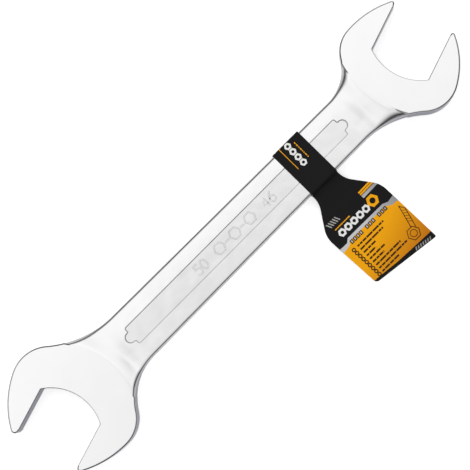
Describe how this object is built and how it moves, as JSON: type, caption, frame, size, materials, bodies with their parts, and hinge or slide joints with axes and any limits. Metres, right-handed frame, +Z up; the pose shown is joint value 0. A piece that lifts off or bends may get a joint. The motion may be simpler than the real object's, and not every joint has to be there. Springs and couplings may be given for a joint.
{
  "type": "open end wrench",
  "caption": "Double open end wrench in chromed steel with a lobed panel on its shank and a folding card hang tag that slides along it.",
  "frame": {"origin": "on the centre line of the shank at the middle of the ground face under the large head", "axes": "+X runs along the shank toward the small head, +Y across it to the side of the small head's short prong, away from the tag's flag, and +Z up out of the top face"},
  "size_m": [0.4315, 0.1515, 0.0165],
  "materials": {
    "chromed_steel": "satin chrome plate over forged and ground steel",
    "black_printed_board": "coated paperboard printed black",
    "orange_printed_board": "coated paperboard printed orange and black"
  },
  "bodies": {
    "wrench": {"wrench": "chromed_steel"},
    "tag_sleeve": {"tag_sleeve": "black_printed_board"},
    "tag_flag": {"tag_front_leaf": "orange_printed_board", "tag_back_leaf": "orange_printed_board"}
  },
  "joints": [
    {"name": "tag_slide", "type": "slide", "parent": "wrench", "child": "tag_sleeve", "axis": [1, 0, 0], "range_m": [-0.068, 0.034]},
    {"name": "tag_fold", "type": "hinge", "parent": "tag_sleeve", "child": "tag_flag", "pos_m": [0.2186, -0.02137, 0.00825], "axis": [-1, 0, 0], "range_deg": [-80, 90]}
  ]
}
